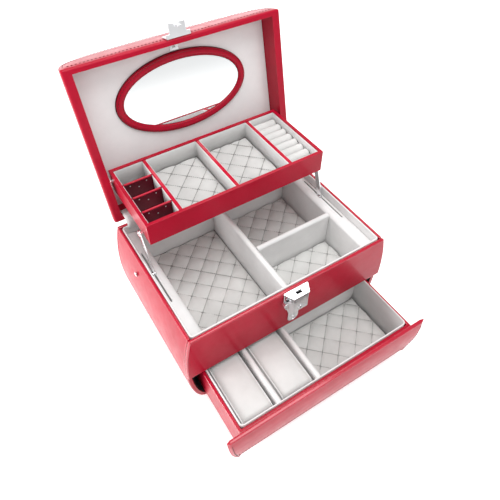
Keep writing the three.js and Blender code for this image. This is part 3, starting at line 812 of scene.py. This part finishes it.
def build_hinge_cloth():
    """Lining cloth that bridges the hinge gap from the base's lining to the inside of the lid's back wall."""
    radius = HINGE_CLOTH_RADIUS
    turn = math.radians(HINGE["range_deg"][1])
    y_in = HINGE_POINT.y / MM - radius
    z_in = HINGE_POINT.z / MM
    line = [(y_in + 0.4, z_in - 5), (y_in + 0.2, z_in - 2)]
    for i in range(13):
        angle = math.pi - turn * i / 12
        line.append((HINGE_POINT.y / MM + radius * math.cos(angle), z_in + radius * math.sin(angle)))
    for v, w in ((11, 1.5), (10.9, 5), (10.9, 10)):
        point = lid_place(0, v * MM, w * MM) / MM
        line.append((point.y, point.z))
    half = box_mm("base_lining")[1].x - 8
    xs = np.linspace(-half, half, 60)
    verts = []
    for shift in (0, HINGE_CLOTH_THICK):
        for y, z in line:
            ripple = 0.25 if z > z_in else 0
            verts += [
                Vector((x, y - shift, z + shift * 0.3 + ripple * math.sin(x * 0.11))) * MM for x in xs]
    faces = skin_faces(len(line), len(xs))
    cloth = piece("hinge_cloth", from_points(verts, faces), SUEDE, None)
    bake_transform(cloth)


def build_lid_stitching():
    right = arch_outline()
    outline = [Vector((x, w, 0)) for x, w in right + [(-x, w) for x, w in reversed(right)]]
    path = []
    for i, point in enumerate(outline):
        before, after = outline[max(i - 1, 0)], outline[min(i + 1, len(outline) - 1)]
        along = (after - before).normalized()
        path.append(point + Vector((-along.y, along.x, 0)) * LID_SEAM)
    path = [p for p in path if p.y > LID_SEAM + 1.5]
    front = lid_box("lid_front_wall")[1][1] + 0.1
    face = front + lid_front_swell(LID_SEAM)
    crown = [lid_place(p.x * MM, (face - front_fall(p.y)) * MM, p.y * MM) for p in path]
    normal = LID_TURN @ Vector((0, -1, 0))
    stitch_row("lid_front_crown_stitches", crown, normal, "lid")
    face = (front + lid_front_swell(LID_RIM_SEAM) - front_fall(LID_RIM_SEAM)) * MM
    end = path[0].x - 3
    rim = [lid_place(x * MM, face, LID_RIM_SEAM * MM) for x in np.linspace(-end, end, 40)]
    stitch_row("lid_front_rim_stitches", rim, normal, "lid")
    back = lid_box("lid_back_wall")[0][1] * MM
    crown = [lid_place(p.x * MM, back, p.y * MM) for p in path]
    stitch_row("lid_back_crown_stitches", crown, -normal, "lid")


OVAL_STEPS = 96
MIRROR_STITCH = (3.4, 2.2, 0.4)  # pitch, length and radius
MIRROR_SECTION = (  # the frame's padded face: distance in from its outer edge, and rise over its lowest point
    (0, 1.6), (0.5, 0.6), (1.6, 0.1), (3.2, -0.25), (4.5, -0.35), (5.8, -0.25), (7.4, 0.1), (8.4, 0.7),
    (8.5, 1.7),
)


def ellipse_ring(a, b):
    turns = [2 * math.pi * i / OVAL_STEPS for i in range(OVAL_STEPS)]
    return [(a * math.cos(turn), b * math.sin(turn)) for turn in turns]


def build_mirror():
    """A padded oval leather frame with a row of stitches near each edge, around the flat glass."""
    low, high = lid_box("mirror_frame")
    cx, cv = (low[0] + high[0]) / 2, (low[1] + high[1]) / 2
    a, b = (high[0] - low[0]) / 2, (high[1] - low[1]) / 2
    top, bottom = high[2], low[2]

    def oval(inset, w):
        return [lid_place((cx + x) * MM, (cv + v) * MM, w * MM) for x, v in ellipse_ring(a - inset, b - inset)]

    section = [(inset, bottom + rise) for inset, rise in MIRROR_SECTION]
    section = [(0, top), *section, (MIRROR_SECTION[-1][0], top)]
    verts = [point for inset, w in section for point in oval(inset, w)]
    faces = grid_faces(len(section), OVAL_STEPS, wrap_rows=True, wrap_columns=True)
    piece("mirror_frame_leather", from_points(verts, faces), LEATHER, "lid", ("mirror_frame",))
    normal = LID_TURN @ Vector((0, 0, -1))
    for name, inset in (("outer", 1.9), ("inner", 6.7)):
        path = oval(inset, bottom - 0.05)
        stitch_rows(
            f"mirror_frame_{name}_stitches", [[*path, path[0]]], normal, "lid", THREAD, *MIRROR_STITCH)
    # a dark bead round the frame's outer edge: painted shade of the gap where the frame meets the ceiling
    tube("mirror_frame_shadow_bead", oval(-0.3, top - 0.5), 0.55, BURGUNDY, "lid", closed=True, sides=8)
    set_material("mirror_glass", MIRROR)


# ---- tray
TRAY_WALL = 4.0
TRAY_FLOOR = 3.1
CLOTH_GAP = 0.15


def build_tray():
    refined("tray_box", LEATHER, 0.9, 3, edge=EDGE)
    for i in (1, 2, 3):
        refined(f"tray_divider_{i}", TRIM, 1.2, 4)
    low, high = box_mm("tray_box")
    edges = [low.x + TRAY_WALL]
    for i in (1, 2, 3):
        edges += [corner.x for corner in box_mm(f"tray_divider_{i}")]
    edges.append(high.x - TRAY_WALL)
    y0, y1 = low.y + TRAY_WALL + CLOTH_GAP, high.y - TRAY_WALL - CLOTH_GAP
    floor = low.z + TRAY_FLOOR
    for k, name in enumerate(("left", "middle_left", "middle_right", "right")):
        box = (edges[2 * k] + CLOTH_GAP, edges[2 * k + 1] - CLOTH_GAP, y0, y1)
        lining_ring(f"tray_lining_{name}", box, 0.7, floor, high.z - 1.2, 1.2, SUEDE, "tray")
    quilted_pad("tray_pad_left", SHADED_TRAY_QUILT, inset=0.9, crown=2.8, phase=(8, 3))
    quilted_pad("tray_pad_right", SHADED_TRAY_QUILT, inset=0.9, crown=2.8, phase=(5, 10))
    box = (edges[0] + CLOTH_GAP + 1, edges[1] - 1.2, y0 + 1, y1 - 1)
    cloth_floor("tray_floor_left", box, floor + 0.1, "tray")
    build_earring_panels()
    build_ring_rolls()


def cloth_floor(name, box, z, body):
    """A flat piece of cloth on the floor of a compartment."""
    x0, x1, y0, y1 = box
    corners = [(x0, y0), (x1, y0), (x1, y1), (x0, y1)]
    verts = [Vector((x, y, height)) * MM for height in (z, z + 0.6) for x, y in corners]
    piece(name, from_points(verts, BLOCK_FACES), SUEDE, body)


def build_earring_panels():
    """Thin burgundy panels with a rolled red top edge and pale cloth showing in their holes."""
    holes = ((0.22, 20), (0.5, 15), (0.78, 20))  # place across the panel as a share, height over its foot in mm
    for i in (1, 2, 3):
        node = f"earring_panel_{i}"
        refined(node, BURGUNDY, 0.3, 2)
        low, high = box_mm(node)
        y = (low.y + high.y) / 2
        ends = [Vector((x, y, high.z - 0.7)) * MM for x in np.linspace(low.x + 1.2, high.x - 1.2, 14)]
        tube(f"{node}_edge", ends, 1.25, TRIM, "tray")
        for k, (share, up) in enumerate(holes, 1):
            x = low.x + (high.x - low.x) * share
            plug = [Vector((x, y + step, low.z + up)) * MM for step in (-0.75, 0, 0.75)]
            tube(f"{node}_hole_{k}", plug, 0.86, PLUSH, "tray", sides=12)


ROLL_COUNT = 8
ROLL_RINGS = 22
ROLL_SIDES = 20


def build_ring_rolls():
    """Soft rolls side by side, each a closed stuffed bar with rounded ends."""
    low, high = box_mm("ring_rolls")
    pitch = (high.y - low.y) / ROLL_COUNT
    half = (high.x - low.x) / 2 - 0.9
    height = high.z - pitch / 2 - 0.8
    verts, faces = [], []
    for k in range(ROLL_COUNT):
        y = low.y + pitch * (k + 0.5)
        faces += shifted(tube_faces(ROLL_RINGS, ROLL_SIDES), len(verts))
        for t in np.linspace(-1, 1, ROLL_RINGS):
            along = math.sin(t * math.pi / 2)
            swell = max(0.02, 1 - abs(along) ** 24) ** 0.5
            radius = (pitch / 2 - 0.12) * (0.7 + 0.3 * swell)
            for j in range(ROLL_SIDES):
                turn = 2 * math.pi * j / ROLL_SIDES
                rise = radius * math.sin(turn) * (1.12 if math.sin(turn) > 0 else 1.0)
                x = (low.x + high.x) / 2 + along * half
                verts.append(Vector((x, y + radius * math.cos(turn), height + rise)) * MM)
    rolls = piece("ring_rolls_plush", from_points(verts, faces, merge=0), PLUSH, "tray", ("ring_rolls",))


# ---- drawer
def build_drawer():
    refined("drawer_box", LEATHER, 0.9, 3, edge=EDGE)
    build_drawer_front()
    low, high = box_mm("drawer_lining")
    ring = (low.x, high.x, low.y, high.y)
    lining_ring("drawer_lining_cloth", ring, 1.6, low.z, high.z + 0.4, 5, SUEDE, "drawer", ("drawer_lining",))
    for i in (1, 2):
        refined(f"drawer_divider_{i}", SUEDE, 0.4, 2, 50)
        build_watch_cushion(i)
    refined("drawer_cross_wall", SUEDE, 0.9, 3)
    quilted_pad("drawer_pad", inset=0.6, phase=(7, 2))
    wall_low, wall_high = box_mm("drawer_cross_wall")
    rear = (wall_low.x + 1, wall_high.x - 1, wall_high.y + 0.5, high.y - 2.5)
    cloth_floor("drawer_floor_rear", rear, low.z, "drawer")
    pad_low, pad_high = box_mm("drawer_pad")
    front = (pad_low.x - 1, pad_high.x + 0.6, pad_low.y - 1, pad_high.y + 1)
    cloth_floor("drawer_floor_front", front, low.z - 0.55, "drawer")


CUSHION_SWELL = 2.2  # how far a cushion's crown stands over its CAD block
PIPING_AT = 0.86  # where its piping runs, as a share of its half width


def build_watch_cushion(index):
    node = f"watch_cushion_{index}"
    low, high = box_mm(node)
    high = high + Vector((0, 0, CUSHION_SWELL))
    cushion = piece(f"{node}_plush", pillow_mesh(low, high), PLUSH, "drawer", (node,))
    size, middle = high - low, (high + low) / 2
    for side, across in (("left", -PIPING_AT), ("right", PIPING_AT)):
        path = []
        for along in np.linspace(-0.96, 0.96, 40):
            z = middle.z + size.z / 2 * pillow_lift(across, along)[1] + 0.1
            path.append(Vector((middle.x + across * size.x / 2, middle.y + along * size.y / 2, z)) * MM)
        tube(f"{node}_piping_{side}", path, 0.75, SUEDE, "drawer")


FRONT_ROUND = 1.8  # radius of the drawer front's rolled top edge
BACK_ROUND = 1.2
TUCK_HEIGHT = 12  # height of the part that tucks in at the bottom
END_TAPER = 3.0  # length over which the front thins at each end


def front_profile(back, face, z0, z1):
    """Closed section of the drawer's front as (y, z): over the top, down the padded field, in at the bottom."""
    turns = np.radians(np.linspace(0, 90, 6))
    profile = [(back - BACK_ROUND * (1 - math.cos(t)), z1 - BACK_ROUND * (1 - math.sin(t))) for t in turns]
    field_top, field_low = z1 - FRONT_ROUND, z0 + TUCK_HEIGHT
    lip = face + field_bow(field_top)
    profile += [(lip + FRONT_ROUND * (1 - math.sin(t)), z1 - FRONT_ROUND * (1 - math.cos(t))) for t in turns]
    heights = [field_top + (field_low - field_top) * i / 18 for i in range(1, 19)]
    heights += [field_low + (z0 - field_low) * math.sin(i / 8 * math.pi / 2) ** 1.2 for i in range(1, 9)]
    return profile + [(face + field_bow(z), z) for z in heights] + [(back, z0)]


def build_drawer_front():
    """The drawer's leather front: rolled top edge, padded field, bottom tucked in towards the case."""
    low, high = box_mm("drawer_front")
    z0, z1, back, face = low.z, high.z, high.y, low.y
    profile = front_profile(back, face, z0, z1)
    verts = []
    mid_y = (back + face) / 2
    rows = 61
    for u in np.linspace(-1, 1, rows):
        for y, z in profile:
            half = barrel_half(min(max(z, z0), z1)) - 1
            x = math.copysign(abs(u) ** 0.9, u) * half
            room = max(0.0, min(1.0, (half - abs(x)) / END_TAPER))
            shrink = math.sqrt(max(0.0, 1 - (1 - room) ** 2))
            depth = mid_y + (y - mid_y) * (0.3 + 0.7 * shrink)
            verts.append(Vector((x, min(depth, back), z)) * MM)
    bm = from_points(verts, tube_faces(rows, len(profile)))
    # the rolled top edge takes the edge leather, whose lighter red paints a highlight along it
    for polygon in bm.faces:
        if polygon.calc_center_median().z > (z1 - FRONT_ROUND - 0.1) * MM:
            polygon.material_index = 1
    piece("drawer_front_leather", bm, LEATHER, "drawer", ("drawer_front",), edge=EDGE)
    build_drawer_stitching(face, 62, z0 + TUCK_HEIGHT + 0.5)


FIELD_HEIGHTS = (4.5, 7, 11, 17, 24, 33, 45, 57, 63, 67.4)
FIELD_STANDS = (3.9, 3.2, 2.4, 1.4, 0.2, -1.0, -1.7, -1.5, -1.0, -0.4)
FIELD_SEAM = 5  # how far the stitches stand in from the drawer front's ends


def field_bow(z):
    """Where the drawer's padded front stands, against its flat face: proud in the middle, tucked in below."""
    return float(np.interp(z, FIELD_HEIGHTS, FIELD_STANDS))


def build_drawer_stitching(face, upper, lower):
    def place(x, z):
        return Vector((x, face + field_bow(z) - 0.1, z)) * MM

    half = barrel_half(lower) - FIELD_SEAM
    rows = {"lower": [place(x, lower) for x in np.linspace(-half, half, 60)]}
    heights = np.linspace(upper, lower, 21)
    for side, sign in (("left", -1), ("right", 1)):
        rows[side] = [place(sign * (barrel_half(z) - FIELD_SEAM), z) for z in heights]
    for name, row in rows.items():
        stitch_row(f"drawer_front_{name}_stitches", row, (0, -1, 0), "drawer")


# ---- metalwork
def build_metal():
    for side in ("left", "right"):
        refined(f"link_arm_{side}", CHROME if side == "left" else STEEL, 0.25, 2)
        refined(f"arm_tray_pin_{side}", CHROME, 0.2, 2)
        refined(f"tray_pivot_{side}", CHROME, 0.25, 2)
        refined(f"hinge_base_leaf_{side}", CHROME, 0.15, 2)
        refined(f"hinge_lid_leaf_{side}", CHROME, 0.15, 2)
        refined(f"side_screw_{side}", CHROME, 0.5, 3)
    refined("hasp_plate", SATIN, 0.3, 3)
    refined("lid_inner_plate", CHROME, 0.25, 2)
    refined("lock_base_plate", CHROME, 0.3, 3)
    refined("lock_case", CHROME, 0.7, 3)
    refined("lock_slider", CHROME, 0.4, 3)
    refined("key_cylinder", CHROME, 0.2, 2)
    build_lock_details()


LOCK_MIDDLE = 108  # height about which the bead's outline is drawn in from the plate's edge
LOBE_HEIGHT = 7.5  # of the rivet over the plate's lowest point
KEY_SLOT = ((-0.5, -2.1), (0.5, -2.1), (0.5, 2.1), (-0.5, 2.1))
TONGUE_REACH = 199.6  # from the hinge to the middle of the hasp's tongue


def build_lock_details():
    """Bead and rivet on the lock's base plate, and black pieces that paint the shade in the depths of the tongue's
    pocket and the keyhole.
    """
    low = box_mm("lock_base_plate")[0]
    plate = [v.co / MM for v in frame["nodes"]["lock_base_plate"].data.vertices]
    face = min(p.y for p in plate if p.z < 90)
    rim = sorted({
        (round(math.atan2(p.x, LOCK_MIDDLE - p.z), 3), round(p.x, 2), round(p.z, 2))
        for p in plate if abs(p.y - face) < 0.01 and p.z < 122.5})
    path = [Vector((x * 0.9, face - 0.1, LOCK_MIDDLE + (z - LOCK_MIDDLE) * 0.95)) * MM for _, x, z in rim]
    tube("lock_plate_bead", path, 0.45, CHROME, "case", sides=8)
    dome("lock_plate_rivet", Vector((0, face, low.z + LOBE_HEIGHT)), 2.4, 1.3, CHROME, "case")
    tongue_y = HINGE_POINT.y / MM - TONGUE_REACH
    pocket = (-3.55, 3.55, tongue_y - 1.95, tongue_y + 1.95)
    lining_ring("tongue_pocket_shadow", pocket, 0.3, 132.1, 139.6, 0.4, SHADOW_BLACK, "case")
    core_low, core_high = box_mm("key_cylinder")
    z = (core_low.z + core_high.z) / 2
    slot = [Vector((x, core_low.y + depth, z + up)) * MM for depth in (0.35, 3) for x, up in KEY_SLOT]
    piece("keyhole_shadow", from_points(slot, BLOCK_FACES), SHADOW_BLACK, "key")


def dome(name, centre, radius, height, material, body):
    """A round rivet head standing on a face that looks towards -Y."""
    sides, rings = 20, 6
    verts = [(centre + Vector((0, -height, 0))) * MM]
    for turn in np.radians(np.linspace(0, 90, rings + 1))[1:]:
        middle = (centre + Vector((0, -height * math.cos(turn), 0))) * MM
        out = radius * math.sin(turn) * MM
        verts += ring_of_points(middle, Vector((1, 0, 0)), Vector((0, 0, 1)), out, sides)
    faces = [(0, 1 + j, 1 + (j + 1) % sides) for j in range(sides)]
    faces += shifted(grid_faces(rings, sides, wrap_columns=True), 1)
    faces.append(tuple(1 + (rings - 1) * sides + j for j in range(sides)))
    piece(name, from_points(verts, faces), material, body)


make_camera()
make_stage()
build_base()
build_lid()
build_tray()
build_drawer()
build_metal()
